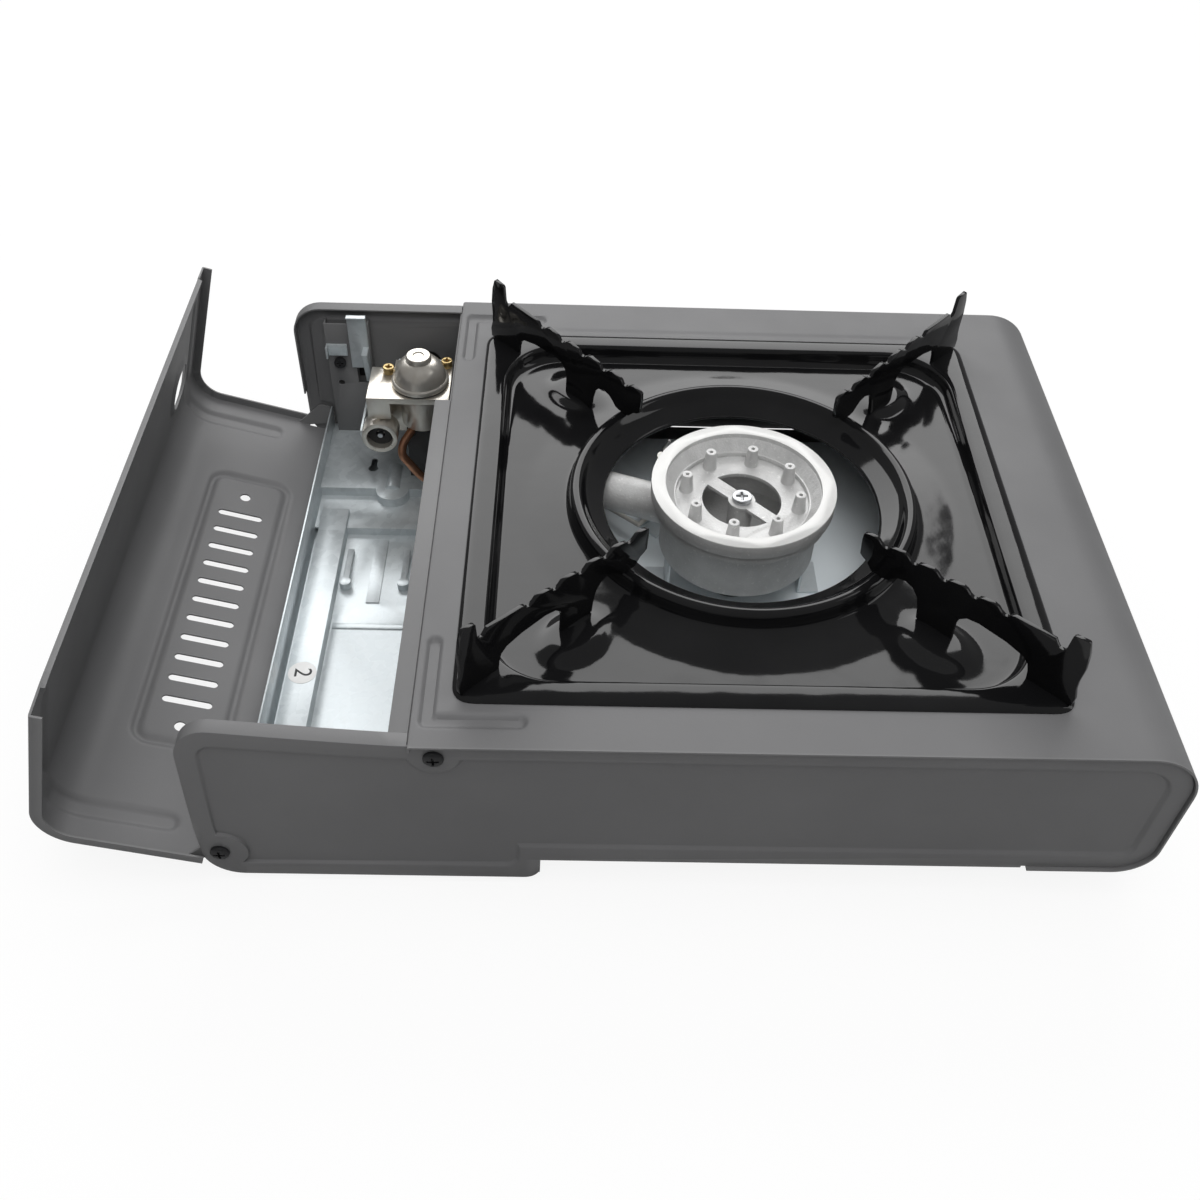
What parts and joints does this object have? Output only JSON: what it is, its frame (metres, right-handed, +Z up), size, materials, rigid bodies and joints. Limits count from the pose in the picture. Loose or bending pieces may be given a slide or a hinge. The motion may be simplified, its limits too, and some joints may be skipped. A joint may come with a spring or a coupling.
{
  "type": "cassette gas stove",
  "caption": "Tabletop cassette gas stove with open cartridge lid, enamelled drip pan with pot supports, ring burner, regulator, lock lever and control knob.",
  "frame": {"origin": "middle of the bounding box on the table plane, lid open", "axes": "+X from the cartridge bay towards the burner's side of the housing, +Y towards the control side with knob and lever, +Z up"},
  "size_m": [0.41, 0.2786, 0.1185],
  "materials": {
    "painted_sheet": "satin dark grey powder coat",
    "galvanised": "zinc-coated sheet, lightly spangled",
    "enamel": "gloss black vitreous enamel",
    "casting": "sand-cast, ring face machined bright",
    "nickel": "warm nickel plate",
    "brass": "turned",
    "copper": "drawn copper, slightly dulled",
    "zinc_bolt": "zinc-plated fastener",
    "black_bolt": "black oxide",
    "black_plastic": "moulded phenolic",
    "rubber": "moulded",
    "ceramic": "glazed ceramic",
    "wire_sleeve": "silicone sleeve",
    "label": "paper label",
    "spring_steel": "oiled"
  },
  "bodies": {
    "housing": {"body_shell": "painted_sheet", "rear_panel": "painted_sheet", "front_panel": "painted_sheet", "bay_tray": "galvanised", "partition_wall": "painted_sheet", "tray_clips": "galvanised", "rail_sticker": "label", "burner_tray": "galvanised", "burner_brackets": "galvanised", "burner_bowl": "casting", "mixing_tube": "casting", "air_shutter": "galvanised", "gas_jet": "brass", "burner_head": "casting", "burner_screw": "zinc_bolt", "electrode_bracket": "galvanised", "electrode_ceramic": "ceramic", "electrode_rod": "spring_steel", "ignition_wire": "wire_sleeve", "piezo_igniter": "black_plastic", "regulator_body": "nickel", "regulator_dome": "nickel", "regulator_spring": "spring_steel", "regulator_diaphragm": "rubber", "regulator_screws": "brass", "regulator_bracket": "galvanised", "valve_body": "brass", "gas_tube": "copper", "knob_escutcheon": "galvanised", "lever_guide": "painted_sheet", "guide_hook": "galvanised", "guide_bolt": "black_bolt", "hinge_screws": "black_bolt", "panel_screws": "black_bolt", "tray_screws": "zinc_bolt", "feet": "rubber"},
    "lid": {"lid": "painted_sheet"},
    "pan": {"drip_pan": "enamel", "pan_support_1": "enamel", "pan_support_2": "enamel", "pan_support_3": "enamel", "pan_support_4": "enamel"},
    "knob": {"valve_stem": "zinc_bolt", "control_knob": "black_plastic"},
    "lever": {"lock_lever": "black_plastic", "lever_plate": "galvanised"},
    "connector": {"can_connector": "nickel", "connector_seal": "rubber", "connector_pin": "zinc_bolt", "shift_link": "galvanised"}
  },
  "joints": [
    {"name": "lid_hinge", "type": "hinge", "parent": "housing", "child": "lid", "pos_m": [-0.14195, -0.00725, 0.019], "axis": [0, 1, 0], "range_deg": [0, 74]},
    {"name": "pan_lift", "type": "slide", "parent": "housing", "child": "pan", "axis": [0, 0, 1], "range_m": [0, 0.12]},
    {"name": "knob_turn", "type": "hinge", "parent": "housing", "child": "knob", "pos_m": [-0.08595, 0.12925, 0.054], "axis": [0, 1, 0], "range_deg": [0, 110]},
    {"name": "lever_slide", "type": "slide", "parent": "housing", "child": "lever", "axis": [0, 0, -1], "range_m": [0, 0.018]},
    {"name": "connector_slide", "type": "slide", "parent": "housing", "child": "connector", "axis": [0, -1, 0], "range_m": [0, 0.006]}
  ],
  "couplings": [
    {"joint": "connector_slide", "follows": "lever_slide", "ratio": 0.33333}
  ]
}
